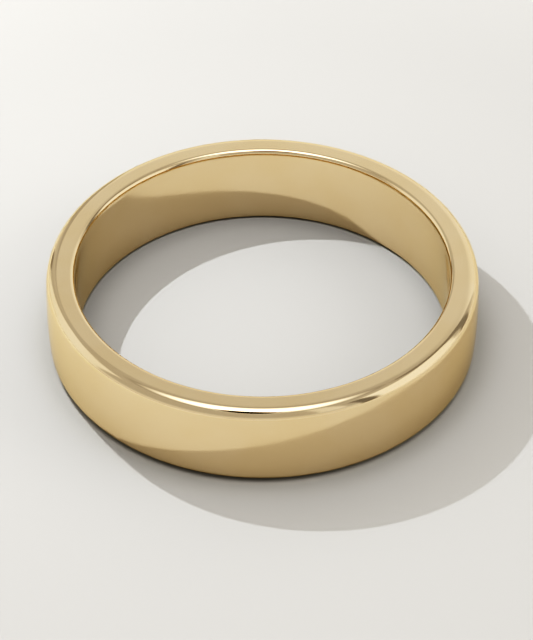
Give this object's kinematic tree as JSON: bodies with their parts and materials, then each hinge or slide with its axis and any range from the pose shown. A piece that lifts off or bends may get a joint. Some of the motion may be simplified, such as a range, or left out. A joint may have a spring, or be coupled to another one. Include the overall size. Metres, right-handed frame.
{
  "type": "wedding band",
  "caption": "Plain polished yellow gold finger ring of nearly flat section, with slightly crowned outside and rounded edges.",
  "frame": {"origin": "centre of the finger hole, in the plane of the edge face that the ring rests on", "axes": "+Z along the finger hole, up when the ring lies flat; X and Y are any two directions across it, because the ring is round"},
  "size_m": [0.0192, 0.0192, 0.004],
  "materials": {
    "yellow_gold": null
  },
  "bodies": {
    "root": {"band": "yellow_gold"}
  },
  "joints": []
}
